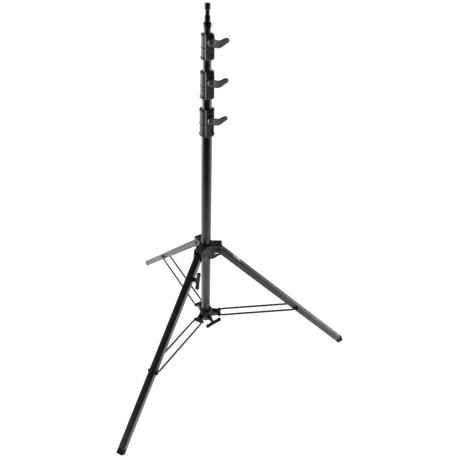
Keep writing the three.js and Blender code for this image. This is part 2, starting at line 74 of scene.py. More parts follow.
up = Vector((0, 0, 1))
columnPlace = Vector(joints["riser_1_turn"]["pos_m"])
columnPlace.z = 0
atColumn = Matrix.Translation(columnPlace)
legSlope = math.asin(-joints["levelling_leg_slide"]["axis"][2])


def legMatrix(name):
    # X runs down the leg, Z stands on its upper face
    hinge, side = jointPlace("leg_" + name + "_fold")
    outward = side.cross(up)
    down = outward * math.cos(legSlope) - up * math.sin(legSlope)
    return placeMatrix(hinge, down, side)


def clevisMatrix(name):
    hinge, side = jointPlace("leg_" + name + "_fold")
    return placeMatrix(hinge, side.cross(up), side)


def braceMatrix(name):
    # X runs from the spreader bolt to the rivet
    pivot, side = jointPlace("brace_" + name + "_fold")
    rivet = (nodeMiddle("brace_rivet_" + name + "_left") + nodeMiddle("brace_rivet_" + name + "_right")) / 2
    along = (rivet - pivot).normalized()
    return placeMatrix(pivot, along, side), (rivet - pivot).length / mm


def clampMatrix(index):
    # X points out of the clamp block, Y to the lever's tip, Z up
    axis = Vector(joints["lever_%d_turn" % index]["axis"]).normalized()
    height = joints["lever_%d_turn" % index]["pos_m"][2]
    return placeMatrix(Vector((columnPlace.x, columnPlace.y, height)), axis, up.cross(axis))


# Modelling helpers
def deselectAll():
    if bpy.context.mode != "OBJECT":
        bpy.ops.object.mode_set(mode="OBJECT")
    bpy.ops.object.select_all(action="DESELECT")


def makeActive(piece):
    deselectAll()
    piece.select_set(True)
    bpy.context.view_layer.objects.active = piece


def applyModifier(piece, kind, **settings):
    makeActive(piece)
    modifier = piece.modifiers.new(kind.title(), kind)
    for key, value in settings.items():
        setattr(modifier, key, value)
    bpy.ops.object.modifier_apply(modifier=modifier.name)


def selectWhere(piece, faces=None, edges=None):
    # edit mode only: selects by a test on each face or edge
    mesh = bmesh.from_edit_mesh(piece.data)
    for part in (mesh.verts, mesh.edges, mesh.faces):
        for element in part:
            element.select = False
    if edges:
        for edge in mesh.edges:
            edge.select = edges(edge)
    if faces:
        for face in mesh.faces:
            if faces(face):
                face.select_set(True)
    bmesh.update_edit_mesh(piece.data)


def soften(piece, width, segments=3, angle=30):
    applyModifier(piece, "BEVEL", width=width * mm, segments=segments, limit_method="ANGLE",
                  angle_limit=math.radians(angle), use_clamp_overlap=True, miter_outer="MITER_ARC")


def smoothPiece(piece, angle=32):
    makeActive(piece)
    bpy.ops.object.shade_smooth_by_angle(angle=math.radians(angle))


def fixNormals(piece):
    makeActive(piece)
    bpy.ops.object.mode_set(mode="EDIT")
    bpy.ops.mesh.select_all(action="SELECT")
    bpy.ops.mesh.remove_doubles(threshold=0.00001)
    bpy.ops.mesh.normals_make_consistent(inside=False)
    bpy.ops.object.mode_set(mode="OBJECT")


def turned(name, profile, sides=72, hollow=False):
    # a circle is extruded up the profile, [radius, height] in mm, as on a lathe
    deselectAll()
    radius, height = profile[0]
    bpy.ops.mesh.primitive_circle_add(vertices=sides, radius=radius * mm, location=(0, 0, 0),
                                      fill_type="NOTHING" if hollow else "NGON")
    piece = bpy.context.object
    piece.name = name
    bpy.ops.object.mode_set(mode="EDIT")
    bpy.ops.mesh.select_all(action="SELECT")
    bpy.ops.transform.translate(value=(0, 0, height * mm))
    steps = profile[1:] + ([profile[0]] if hollow else [])
    for nextRadius, nextHeight in steps:
        bpy.ops.mesh.extrude_region_move(TRANSFORM_OT_translate={"value": (0, 0, (nextHeight - height) * mm)})
        scale = nextRadius / radius
        if abs(scale - 1) > 1e-6:
            bpy.ops.transform.resize(value=(scale, scale, 1), center_override=(0, 0, nextHeight * mm))
        radius, height = nextRadius, nextHeight
    bpy.ops.object.mode_set(mode="OBJECT")
    fixNormals(piece)
    return piece


def block(name, low, high):
    deselectAll()
    size = [(b - a) * mm for a, b in zip(low, high)]
    middle = [(a + b) / 2 * mm for a, b in zip(low, high)]
    bpy.ops.mesh.primitive_cube_add(size=1, location=middle, scale=size)
    piece = bpy.context.object
    piece.name = name
    bpy.ops.object.transform_apply(location=True, rotation=True, scale=True)
    return piece


def plate(name, outline, low, high):
    # a flat outline in X-Z, [x, z] in mm, given its thickness from y = low to y = high
    deselectAll()
    curve = bpy.data.curves.new(name, "CURVE")
    curve.dimensions = "2D"
    curve.fill_mode = "BOTH"
    curve.extrude = (high - low) / 2 * mm
    spline = curve.splines.new("POLY")
    spline.points.add(len(outline) - 1)
    for point, (x, z) in zip(spline.points, outline):
        point.co = (x * mm, z * mm, 0, 1)
    spline.use_cyclic_u = True
    piece = bpy.data.objects.new(name, curve)
    bpy.context.scene.collection.objects.link(piece)
    makeActive(piece)
    bpy.ops.object.convert(target="MESH")
    piece = bpy.context.object
    piece.data.transform(Matrix.Rotation(math.pi / 2, 4, "X"))
    piece.data.transform(Matrix.Translation((0, (low + high) / 2 * mm, 0)))
    fixNormals(piece)
    return piece


def reshape(piece, matrix):
    piece.data.transform(matrix)
    return piece


def alongX(piece):
    return reshape(piece, Matrix.Rotation(math.pi / 2, 4, "Y"))


def alongY(piece):
    return reshape(piece, Matrix.Rotation(-math.pi / 2, 4, "X"))


def moved(piece, x=0, y=0, z=0):
    return reshape(piece, Matrix.Translation((x * mm, y * mm, z * mm)))


def joined(name, pieces):
    deselectAll()
    for piece in pieces:
        piece.select_set(True)
    bpy.context.view_layer.objects.active = pieces[0]
    bpy.ops.object.join()
    pieces[0].name = name
    return pieces[0]


def cutAway(piece, cutters):
    for cutter in cutters:
        applyModifier(piece, "BOOLEAN", operation="DIFFERENCE", object=cutter, solver="EXACT")
        bpy.data.objects.remove(cutter)
    return piece


def cast(piece, voxel, rounds):
    # one skin over all that was joined, its corners melted as in a casting
    applyModifier(piece, "REMESH", mode="VOXEL", voxel_size=voxel * mm)
    applyModifier(piece, "SMOOTH", factor=0.6, iterations=rounds)
    return piece


def boreX(radius, start, end, sides=32):
    return alongX(turned("bore", [[radius, start], [radius, end]], sides))


def boreY(radius, start, end, sides=32):
    return alongY(turned("bore", [[radius, start], [radius, end]], sides))


def boreZ(radius, start, end, sides=96):
    return turned("bore", [[radius, start], [radius, end]], sides)


def hexSocket(size, depthStart, depthEnd):
    return turned("socketCutter", [[size, depthStart], [size, depthEnd]], sides=6)


def place(piece, matrix, name, body, slot, material, *replaced):
    reshape(piece, matrix)
    piece.name = name
    piece.data.name = name
    piece.data.materials.clear()
    piece.data.materials.append(material)
    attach(piece, body)
    if replaced:
        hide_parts(*replaced)
    return piece


def copied(piece):
    twin = piece.copy()
    twin.data = piece.data.copy()
    bpy.context.scene.collection.objects.link(twin)
    return twin


# Materials
def linear(hexColour):
    parts = [int(hexColour[i:i + 2], 16) / 255 for i in (1, 3, 5)]
    return [p / 12.92 if p <= 0.04045 else ((p + 0.055) / 1.055) ** 2.4 for p in parts] + [1]


def newMaterial(name):
    material = bpy.data.materials.new(name)
    material.use_nodes = True
    tree = material.node_tree
    tree.nodes.clear()
    shader = tree.nodes.new("ShaderNodeBsdfPrincipled")
    output = tree.nodes.new("ShaderNodeOutputMaterial")
    tree.links.new(shader.outputs["BSDF"], output.inputs["Surface"])
    return material, tree, shader


def addNode(tree, kind, settings=None, inputs=None, outputs=None):
    # settings are attributes, inputs are values or sockets, outputs link to sockets
    node = tree.nodes.new(kind)
    for key, value in (settings or {}).items():
        setattr(node, key, value)
    for key, value in (inputs or {}).items():
        if isinstance(value, bpy.types.NodeSocket):
            tree.links.new(value, node.inputs[key])
        else:
            node.inputs[key].default_value = value
    for key, target in (outputs or {}).items():
        tree.links.new(node.outputs[key], target)
    return node


def addRamp(tree, source, stops, target=None):
    ramp = addNode(tree, "ShaderNodeValToRGB", inputs={"Fac": source})
    elements = ramp.color_ramp.elements
    while len(elements) < len(stops):
        elements.new(0.5)
    for element, (position, colour) in zip(elements, stops):
        element.position = position
        element.color = colour if len(colour) == 4 else (*colour, 1)
    if target:
        tree.links.new(ramp.outputs["Color"], target)
    return ramp


def grey(value):
    return (value, value, value, 1)


def coatedSteel():
    # Steel tube, phosphated and powder coated: satin black, with the shallow orange peel of the
    # melted powder, a cloudy gloss and a few hair scratches round the tube from clamping
    look = {"colour": "#1b191a", "worn": "#2a2728", "peelMm": 1.6, "cloudMm": 60, "scratchMm": 0.9}
    material, tree, shader = newMaterial("powderCoatedSteel")
    coords = addNode(tree, "ShaderNodeTexCoord").outputs["Object"]
    peel = addNode(tree, "ShaderNodeTexNoise", inputs={
        "Vector": coords, "Scale": 1000 / look["peelMm"], "Detail": 2, "Roughness": 0.5})
    cloud = addNode(tree, "ShaderNodeTexNoise", inputs={
        "Vector": coords, "Scale": 1000 / look["cloudMm"], "Detail": 4, "Roughness": 0.6})
    stretch = addNode(tree, "ShaderNodeMapping", inputs={"Vector": coords, "Scale": (0.12, 0.12, 1)})
    scratch = addNode(tree, "ShaderNodeTexNoise", inputs={
        "Vector": stretch.outputs["Vector"], "Scale": 1000 / look["scratchMm"], "Detail": 3,
        "Roughness": 0.7})
    addRamp(tree, cloud.outputs["Fac"], [
        (0.35, linear(look["colour"])), (0.7, linear(look["worn"]))], shader.inputs["Base Color"])
    marks = addRamp(tree, scratch.outputs["Fac"], [(0.62, grey(0)), (0.74, grey(1))])
    gloss = addNode(tree, "ShaderNodeMapRange", inputs={
        "Value": cloud.outputs["Fac"], "From Min": 0.3, "From Max": 0.7, "To Min": 0.34, "To Max": 0.46})
    addNode(tree, "ShaderNodeMath", {"operation": "MULTIPLY_ADD"}, {
        0: marks.outputs["Color"], 1: 0.12, 2: gloss.outputs["Result"]},
        {"Value": shader.inputs["Roughness"]})
    addNode(tree, "ShaderNodeBump", inputs={
        "Strength": 0.12, "Distance": 0.0002, "Height": peel.outputs["Fac"]},
        outputs={"Normal": shader.inputs["Normal"]})
    shader.inputs["IOR"].default_value = 1.5
    shader.inputs["Coat Weight"].default_value = 0.35
    shader.inputs["Coat Roughness"].default_value = 0.3
    return material


def castPaint(name, colour, highlightColour, grainMm, roughness, metallic=0.0, strength=0.35):
    # Die-cast alloy under a fine wrinkled paint: a sandy grain, and a painted highlight that makes convex
    # edges and corners lighter
    material, tree, shader = newMaterial(name)
    coords = addNode(tree, "ShaderNodeTexCoord").outputs["Object"]
    grain = addNode(tree, "ShaderNodeTexNoise", inputs={
        "Vector": coords, "Scale": 1000 / grainMm, "Detail": 5, "Roughness": 0.65})
    cloud = addNode(tree, "ShaderNodeTexNoise", inputs={
        "Vector": coords, "Scale": 1000 / 14, "Detail": 3, "Roughness": 0.6})
    edge = addNode(tree, "ShaderNodeNewGeometry")
    # painted highlight: convex edges and corners, found by pointiness, are mixed towards the lighter colour
    # in cloudy patches
    edgeHighlightMask = addRamp(tree, edge.outputs["Pointiness"], [(0.51, grey(0)), (0.56, grey(1))])
    patchy = addRamp(tree, cloud.outputs["Fac"], [(0.42, grey(0.1)), (0.7, grey(0.9))])
    paintedEdgeHighlight = addNode(tree, "ShaderNodeMath", {"operation": "MULTIPLY"}, {
        0: edgeHighlightMask.outputs["Color"], 1: patchy.outputs["Color"]})
    base = addRamp(tree, grain.outputs["Fac"], [
        (0.35, [c * 0.8 for c in linear(colour)[:3]]), (0.65, linear(colour))])
    addNode(tree, "ShaderNodeMix", {"data_type": "RGBA"}, {
        "Factor": paintedEdgeHighlight.outputs["Value"], 6: base.outputs["Color"], 7: linear(highlightColour)},
        {2: shader.inputs["Base Color"]})
    addNode(tree, "ShaderNodeMapRange", inputs={
        "Value": cloud.outputs["Fac"], "From Min": 0.3, "From Max": 0.7,
        "To Min": roughness - 0.06, "To Max": roughness + 0.08},
        outputs={"Result": shader.inputs["Roughness"]})
    addNode(tree, "ShaderNodeBump", inputs={
        "Strength": strength, "Distance": 0.0002, "Height": grain.outputs["Fac"]},
        outputs={"Normal": shader.inputs["Normal"]})
    shader.inputs["Metallic"].default_value = metallic
    return material


def mouldedPlastic(name, colour, roughness, sparkMm=0.8):
    # Glass-filled nylon, moulded: spark-eroded mould texture, evenly matt
    material, tree, shader = newMaterial(name)
    coords = addNode(tree, "ShaderNodeTexCoord").outputs["Object"]
    spark = addNode(tree, "ShaderNodeTexVoronoi", {"feature": "SMOOTH_F1"}, {
        "Vector": coords, "Scale": 1000 / sparkMm})
    flow = addNode(tree, "ShaderNodeTexNoise", inputs={"Vector": coords, "Scale": 1000 / 22, "Detail": 3})
    addRamp(tree, flow.outputs["Fac"], [
        (0.3, linear(colour)), (0.75, [c * 1.25 for c in linear(colour)[:3]])], shader.inputs["Base Color"])
    addNode(tree, "ShaderNodeMapRange", inputs={
        "Value": flow.outputs["Fac"], "To Min": roughness - 0.08, "To Max": roughness + 0.08},
        outputs={"Result": shader.inputs["Roughness"]})
    addNode(tree, "ShaderNodeBump", inputs={
        "Strength": 0.2, "Distance": 0.0002, "Height": spark.outputs["Distance"]},
        outputs={"Normal": shader.inputs["Normal"]})
    shader.inputs["IOR"].default_value = 1.53
    return material


def machinedMetal(name, colour, roughness, lineMm=0.35, metallic=1.0):
    # Turned steel: fine rings from the lathe tool, a little uneven where it was handled
    material, tree, shader = newMaterial(name)
    coords = addNode(tree, "ShaderNodeTexCoord").outputs["Object"]
    stretch = addNode(tree, "ShaderNodeMapping", inputs={"Vector": coords, "Scale": (0.05, 0.05, 1)})
    rings = addNode(tree, "ShaderNodeTexNoise", inputs={
        "Vector": stretch.outputs["Vector"], "Scale": 1000 / lineMm, "Detail": 2})
    smear = addNode(tree, "ShaderNodeTexNoise", inputs={"Vector": coords, "Scale": 1000 / 9, "Detail": 4})
    addRamp(tree, smear.outputs["Fac"], [
        (0.3, [c * 0.85 for c in linear(colour)[:3]]), (0.7, linear(colour))], shader.inputs["Base Color"])
    addNode(tree, "ShaderNodeMapRange", inputs={
        "Value": smear.outputs["Fac"], "From Min": 0.3, "From Max": 0.7,
        "To Min": roughness - 0.05, "To Max": roughness + 0.1},
        outputs={"Result": shader.inputs["Roughness"]})
    addNode(tree, "ShaderNodeBump", inputs={
        "Strength": 0.1, "Distance": 0.0001, "Height": rings.outputs["Fac"]},
        outputs={"Normal": shader.inputs["Normal"]})
    shader.inputs["Metallic"].default_value = metallic
    return material


def mouldedRubber():
    # Moulded rubber: matt, dusty, with a soft uneven skin
    material, tree, shader = newMaterial("mouldedRubber")
    coords = addNode(tree, "ShaderNodeTexCoord").outputs["Object"]
    skin = addNode(tree, "ShaderNodeTexNoise", inputs={
        "Vector": coords, "Scale": 1000 / 1.2, "Detail": 4, "Roughness": 0.6})
    dust = addNode(tree, "ShaderNodeTexNoise", inputs={"Vector": coords, "Scale": 1000 / 12, "Detail": 5})
    addRamp(tree, dust.outputs["Fac"], [
        (0.4, linear("#141414")), (0.75, linear("#26252a"))], shader.inputs["Base Color"])
    addRamp(tree, dust.outputs["Fac"], [(0.3, grey(0.7)), (0.8, grey(0.92))], shader.inputs["Roughness"])
    addNode(tree, "ShaderNodeBump", inputs={
        "Strength": 0.3, "Distance": 0.0003, "Height": skin.outputs["Fac"]},
        outputs={"Normal": shader.inputs["Normal"]})
    return material


def filmLabel():
    # Polyester film sticker, pale blue and blank: slightly glossy, faintly creased
    material, tree, shader = newMaterial("filmLabel")
    coords = addNode(tree, "ShaderNodeTexCoord").outputs["Object"]
    crease = addNode(tree, "ShaderNodeTexNoise", inputs={"Vector": coords, "Scale": 1000 / 7, "Detail": 2})
    addRamp(tree, crease.outputs["Fac"], [
        (0.3, linear("#ccd8ee")), (0.7, linear("#dfe8f6"))], shader.inputs["Base Color"])
    addRamp(tree, crease.outputs["Fac"], [(0.3, grey(0.32)), (0.7, grey(0.42))], shader.inputs["Roughness"])
    addNode(tree, "ShaderNodeBump", inputs={
        "Strength": 0.08, "Distance": 0.0003, "Height": crease.outputs["Fac"]},
        outputs={"Normal": shader.inputs["Normal"]})
    return material


tubeCoat = coatedSteel()
castBlack = castPaint("wrinklePaintedCasting", "#4a484c", "#868489", 0.9, 0.44)
leverGrey = castPaint("satinPaintedZinc", "#88858d", "#aeabb3", 0.8, 0.4, 0.2, 0.2)
leverSteel = machinedMetal("greyPlatedSteel", "#6f6d74", 0.42)
spigotSteel = machinedMetal("blackenedTurnedSteel", "#343438", 0.38)
screwSteel = machinedMetal("blackOxideSteel", "#36363a", 0.36)
plainSteel = machinedMetal("zincPlatedSteel", "#a6a6ab", 0.3)
padBrass = machinedMetal("turnedBrass", "#b08d4a", 0.35)
knobPlastic = mouldedPlastic("glassFilledNylon", "#3f3e41", 0.46)
bushPlastic = mouldedPlastic("blackAcetal", "#1a1a1c", 0.45)
rubberBlack = mouldedRubber()
labelFilm = filmLabel()
print("materials made:", len(bpy.data.materials))


# Column tubes
tubes = {"radius": (17.5, 15, 12.5, 10), "wall": 2, "edge": 0.4, "sides": 96}


def makeColumn():
    for index, radius in enumerate(tubes["radius"]):
        node = "base_tube" if index == 0 else "riser_%d_tube" % index
        low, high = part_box(node)
        inner = radius - tubes["wall"]
        bottom, top = low.z / mm, high.z / mm
        piece = turned(node, [[inner, bottom], [radius, bottom], [radius, top], [inner, top]],
                       tubes["sides"], hollow=True)
        soften(piece, tubes["edge"], 2)
        smoothPiece(piece)
        body = "base" if index == 0 else "riser_%d" % index
        place(piece, atColumn, "tube%d" % index, body, "tube_paint", tubeCoat, node)
    low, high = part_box("base_end_cap")
    bottom = low.z / mm
    cap = turned("cap", [[16.2, bottom], [17.5, bottom + 1.3], [17.5, bottom + 5], [15.2, bottom + 5],
                         [15.2, high.z / mm]])
    soften(cap, 0.5)
    dimple = turned("capDimple", [[11, bottom - 1], [10, bottom + 2.2]])
    cutAway(cap, [dimple])
    smoothPiece(cap)
    place(cap, atColumn, "columnEndCap", "base", "rubber", rubberBlack, "base_end_cap")


# Clamp collars
collars = {"wall": 5, "flange": 2.4, "blockWidth": 25, "blockReach": 6.5,
           "voxel": 0.8, "melt": 5, "screwRadius": 3.5, "setRadius": 2.2, "setSide": 4, "gap": 0.3,
           "pocketRise": (15.5, 14.5, 10.2), "pocketRadius": 5.2, "pocketDepth": 4.5}


def makeCollar(index):
    size = collars
    node = "collar_%d" % index
    low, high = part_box(node)
    leverHeight = joints["lever_%d_turn" % index]["pos_m"][2] / mm
    outer, inner = tubes["radius"][index - 1], tubes["radius"][index]
    body = outer + size["wall"]
    face = body + size["blockReach"]
    bottom, top = low.z / mm - leverHeight, high.z / mm - leverHeight
    shellTop = top - 3
    height = shellTop - bottom
    rim, middle = body + size["flange"], bottom + height * 0.46
    shell = turned("shell", [
        [rim - 1.5, bottom], [rim, bottom + 2], [rim, bottom + 6], [body, bottom + 9],
        [body, middle - 2.5], [body + 1.3, middle - 1.2], [body + 1.3, middle + 1.2], [body, middle + 2.5],
        [body - 0.4, shellTop - 8], [body + 1.2, shellTop - 6], [body + 1.2, shellTop - 1.5],
        [body - 0.5, shellTop]])
    half = size["blockWidth"] / 2
    pad = block("pad", (0, -half, bottom + 1.5), (face, half, top))
    wedgeLow = block("wedge", (0, -30, -8), (30, 30, 0))
    reshape(wedgeLow, Matrix.Rotation(math.radians(-32), 4, "Y"))
    moved(wedgeLow, face - 7, 0, bottom + 1.5)
    wedgeTop = block("wedge", (0, -30, 0), (30, 30, 10))
    reshape(wedgeTop, Matrix.Rotation(math.radians(40), 4, "Y"))
    moved(wedgeTop, face - 7, 0, top)
    cutAway(pad, [wedgeLow, wedgeTop])
    boss = alongX(turned("boss", [[10.5, face - 6], [10, face + 1.5]]))
    ridge = block("ridge", (body - 2, -half - 1.2, bottom + 5), (face - 1.2, -half + 1.2, top - 6))
    piece = joined(node, [shell, pad, boss, ridge])
    cast(piece, size["voxel"], size["melt"])
    tubeNode = "base_tube" if index == 1 else "riser_%d_tube" % (index - 1)
    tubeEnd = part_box(tubeNode)[1].z / mm - leverHeight
    gap = size["gap"]
    setHeight = bottom + height * 0.26
    rise = size["pocketRise"][index - 1]
    hollow = size["pocketRadius"]
    pocket = alongX(turned("pocket", [
        [hollow - 0.8, face - size["pocketDepth"]], [hollow, face - 0.8], [hollow + 1, face + 2]], 48))
    mouth = alongX(turned("mouth", [
        [size["setRadius"] + 0.2, face - 2], [size["setRadius"] + 2.4, face + 0.6]], 32))
    cutAway(piece, [
        moved(pocket, 0, 0, rise),
        boreZ(outer + gap, bottom - 9, tubeEnd + gap),
        boreZ(inner + gap, bottom, top + 9),
        boreX(size["screwRadius"] + gap, 0, 60),
        moved(boreX(size["setRadius"] + gap, 0, 60), 0, size["setSide"], setHeight),
        moved(mouth, 0, size["setSide"], setHeight)])
    smoothPiece(piece, 40)
    matrix = clampMatrix(index)
    bodyName = "base" if index == 1 else "riser_%d" % (index - 1)
    place(piece, matrix, "collar%d" % index, bodyName, "casting", castBlack, node)

    grub = alongX(turned("grub", [[1.4, outer + 0.7], [2.2, outer + 1.6], [2.2, face - 1]], 32))
    cutAway(grub, [alongX(hexSocket(1.2, face - 3.5, face + 1))])
    soften(moved(grub, 0, size["setSide"], setHeight), 0.2, 2)
    smoothPiece(grub)
    place(grub, matrix, "collarSetScrew%d" % index, bodyName, "fastener", screwSteel,
          "collar_set_screw_%d" % index)


# Wing levers
lever = {"hubRadius": 11, "thickness": 7, "voxel": 0.6, "melt": 12, "headRadius": 5, "forward": 1,
         # along the wing: distance from the hub, middle height, half height, half thickness
         "stations": ((6, -1.4, 11.4, 4.2), (14, -4.4, 11.2, 3.8), (21, -6.2, 10.9, 2.9),
                      (27, -6.2, 10.4, 2.8), (33, -3.8, 9.8, 2.9), (39, -0.6, 9.2, 3.0),
                      (45, 1.4, 8.2, 3.0), (50.6, 2.4, 6.5, 2.8), (54.4, 2.0, 3.4, 2.2))}


def makeWing():
    # a block at the hub is pulled out through the stations, then rounded by subdivision
    deselectAll()
    half = lever["thickness"] / 2
    first = lever["stations"][0]
    piece = block("wing", (-half, -4, -9), (half, first[0], 9))
    makeActive(piece)
    bpy.ops.object.mode_set(mode="EDIT")
    selectWhere(piece, faces=lambda face: face.normal.y > 0.9)
    previous = (first[0], 0, 9, half)
    for station in lever["stations"]:
        shift = (0, (station[0] - previous[0]) * mm, (station[1] - previous[1]) * mm)
        bpy.ops.mesh.extrude_region_move(TRANSFORM_OT_translate={"value": shift})
        centre = (0, station[0] * mm, station[1] * mm)
        bpy.ops.transform.resize(value=(station[3] / previous[3], 1, station[2] / previous[2]),
                                 center_override=centre)
        previous = station
    bpy.ops.object.mode_set(mode="OBJECT")
    fixNormals(piece)
    applyModifier(piece, "BEVEL", width=1.6 * mm, segments=2, limit_method="ANGLE",
                  angle_limit=math.radians(50))
    applyModifier(piece, "SUBSURF", levels=3, render_levels=3)
    return piece


def makeLevers():
    wing = makeWing()
    middle = lever["thickness"] / 2
    moved(wing, middle + lever["forward"])
    hub = alongX(turned("hub", [[9.8, 0], [lever["hubRadius"], 1.2], [lever["hubRadius"], 5.8],
                                [10.6, lever["thickness"] + 0.6], [9.8, lever["thickness"] + 1.9],
                                [8.4, lever["thickness"] + 2.8], [7, lever["thickness"] + 3]]))
    master = joined("leverMaster", [wing, hub])
    cast(master, lever["voxel"], lever["melt"])
    cutAway(master, [
        boreX(3.8, -5, 40, 40),
        alongX(turned("recess", [[lever["headRadius"] + 0.3, lever["thickness"] - 1.2],
                                 [lever["headRadius"] + 0.5, lever["thickness"] + 3.2]], 48))])
    smoothPiece(master, 40)
    for index in (1, 2, 3):
        face = tubes["radius"][index - 1] + collars["wall"] + collars["blockReach"]
        back = face + 1.5 + 0.3
        matrix = clampMatrix(index)
        piece = copied(master)
        moved(piece, back)
        place(piece, matrix, "lever%d" % index, "lever_%d" % index, "lever", leverGrey, "lever_%d" % index)
        makeClampScrew(index, back + lever["thickness"], matrix)
    bpy.data.objects.remove(master)


def makeClampScrew(index, front, matrix):
    start = tubes["radius"][index] + 0.3 + 3 + 0.3
    radius = lever["headRadius"]
    piece = alongX(turned("screw", [
        [2.6, start], [3.5, start + 1], [3.5, front - 0.9], [radius, front - 0.9], [radius, front + 2.2],
        [radius - 1.2, front + 2.9], [radius - 2.6, front + 3.2]], 48))
    cutAway(piece, [alongX(hexSocket(2.1, front + 0.6, front + 6))])
    soften(piece, 0.3, 2)
    smoothPiece(piece)
    place(piece, matrix, "clampScrew%d" % index, "lever_%d" % index, "fastener", leverSteel,
          "clamp_screw_%d" % index)


# Spigot
spigot = {"radius": 8, "neck": 6, "flange": 11.5, "insert": 7.7}


def makeSpigot():
    low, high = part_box("spigot")
    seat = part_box("riser_3_tube")[1].z / mm + 0.3
    top = high.z / mm
    radius, neck, flange = spigot["radius"], spigot["neck"], spigot["flange"]
    piece = turned("spigot", [
        [spigot["insert"] - 1, low.z / mm], [spigot["insert"], low.z / mm + 1.5], [spigot["insert"], seat],
        [10.5, seat], [flange, seat + 7.5], [flange, seat + 13], [flange - 1.5, seat + 15],
        [radius, seat + 15.2], [radius, seat + 30], [neck + 0.6, seat + 32.6], [neck, seat + 35],
        [neck, seat + 46], [neck + 0.6, seat + 48], [radius, seat + 50.8], [radius, top - 1.8],
        [radius - 1.8, top]], 96)
    soften(piece, 0.35, 2, 12)
    smoothPiece(piece)
    place(piece, atColumn, "spigotStud", "riser_3", "spigot", spigotSteel, "spigot")


# Shoulder casting
shoulder = {"wall": 8, "cheek": 5, "clear": 0.4, "roof": 5, "roofReach": 58, "voxel": 0.9, "melt": 5,
            "legHalf": 12.5, "boltSink": 7.2, "screwTurn": -60, "screwRise": 18}
boltHoles = {"leg": 4.3, "brace": 3.3}


def arcPoints(centre, radius, start, end, count=8):
    angles = [math.radians(start + (end - start) * i / count) for i in range(count + 1)]
    return [[centre[0] + radius * math.cos(a), centre[1] + radius * math.sin(a)] for a in angles]


def makeShoulder():
    low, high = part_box("shoulder_casting")
    bottom, top = low.z / mm, high.z / mm
    hinge = joints["leg_right_fold"]["pos_m"]
    hingeRadius = (hinge[0] - columnPlace.x) / mm
    hingeHeight = hinge[2] / mm
    hub = tubes["radius"][0] + 0.3 + shoulder["wall"]
    inner = shoulder["legHalf"] + shoulder["clear"]
    outer = inner + shoulder["cheek"]
    roofTop = top - 2
    reach = shoulder["roofReach"]
    outline = [[19, roofTop], [reach - 3, roofTop]]
    outline += arcPoints((reach - 3, roofTop - 3), 3, 80, 10, 4)
    outline += [[hingeRadius + 16, hingeHeight - 12]]
    outline += arcPoints((hingeRadius + 9, hingeHeight - 14), 7, -5, -65, 6)
    outline += [[hingeRadius - 2, hingeHeight - 27.5], [34, bottom + 5], [27, bottom + 2], [19, bottom + 1]]
    pieces = [turned("hub", [[hub - 2, bottom], [hub, bottom + 2.5], [hub, top - 2], [hub - 2, top]])]
    cutters = []
    for name in legNames:
        side = joints["leg_" + name + "_fold"]["axis"]
        turn = Matrix.Rotation(math.atan2(-side[0], side[1]), 4, "Z")
        arm = [plate("cheek", outline, inner, outer), plate("cheek", outline, -outer, -inner),
               block("roof", (19, -outer, roofTop - shoulder["roof"]), (reach, outer, roofTop)),
               block("web", (19, -outer, bottom + 4), (33, outer, bottom + 14))]
        for sign in (1, -1):
            ring = turned("pivotBoss", [[9.6, outer - 4], [9.2, outer + 0.8]], 48)
            alongY(ring)
            if sign < 0:
                reshape(ring, Matrix.Rotation(math.pi, 4, "Z"))
            arm.append(moved(ring, hingeRadius, 0, hingeHeight))
        pieces += [reshape(part, turn) for part in arm]
        holes = [moved(boreY(boltHoles["leg"], -40, 40, 40), hingeRadius, 0, hingeHeight)]
        for sign in (1, -1):
            sink = boreY(shoulder["boltSink"], outer - 2, outer + 20, 48)
            if sign < 0:
                reshape(sink, Matrix.Rotation(math.pi, 4, "Z"))
            holes.append(moved(sink, hingeRadius, 0, hingeHeight))
        window = arcPoints((hingeRadius - 3, hingeHeight - 16), 3.5, -90, 90)
        window += arcPoints((hingeRadius - 11, hingeHeight - 16), 3.5, 90, 270)
        holes.append(plate("window", window, -40, 40))
        cutters += [reshape(part, turn) for part in holes]
    piece = joined("shoulder", pieces)
    cast(piece, shoulder["voxel"], shoulder["melt"])
    screwTurn = Matrix.Rotation(math.radians(shoulder["screwTurn"]), 4, "Z")
    screwHeight = bottom + shoulder["screwRise"]
    cutters += [
        boreZ(tubes["radius"][0] + 0.3, bottom - 9, top + 9),
        turned("mouth", [[tubes["radius"][0] + 1.2, top - 9], [hub - 3, top + 1]], 96),
        reshape(moved(boreX(3.3, 10, 60), 0, 0, screwHeight), screwTurn)]
    cutAway(piece, cutters)
    smoothPiece(piece, 40)
    place(piece, atColumn, "shoulderCasting", "base", "casting", castBlack, "shoulder_casting")
    screw = alongX(turned("screw", [[2.2, 18], [3, 19], [3, hub + 1.2]], 32))
    cutAway(screw, [alongX(hexSocket(1.7, hub - 2, hub + 4))])
    soften(screw, 0.25, 2)
    smoothPiece(screw)
    moved(screw, 0, 0, screwHeight)
    place(reshape(screw, screwTurn), atColumn, "shoulderScrew", "base", "fastener", screwSteel,
          "shoulder_screw")


# Legs and feet
legs = {"size": 25, "wall": 1.5, "corner": 2.6, "tail": 9, "foot": 22, "endRound": 1, "hollow": 40}
feet = {"corner": 2.8, "edge": 1.8, "grooves": (8, 11.5, 15), "groove": 1.1, "inset": 0.7,
        "plug": 10.7, "frontPlug": 9.4, "frontPlugFit": 8.7, "plugLength": 24}


def runsAlongX(edge):
    return abs(edge.verts[0].co.x - edge.verts[1].co.x) > 10 * mm


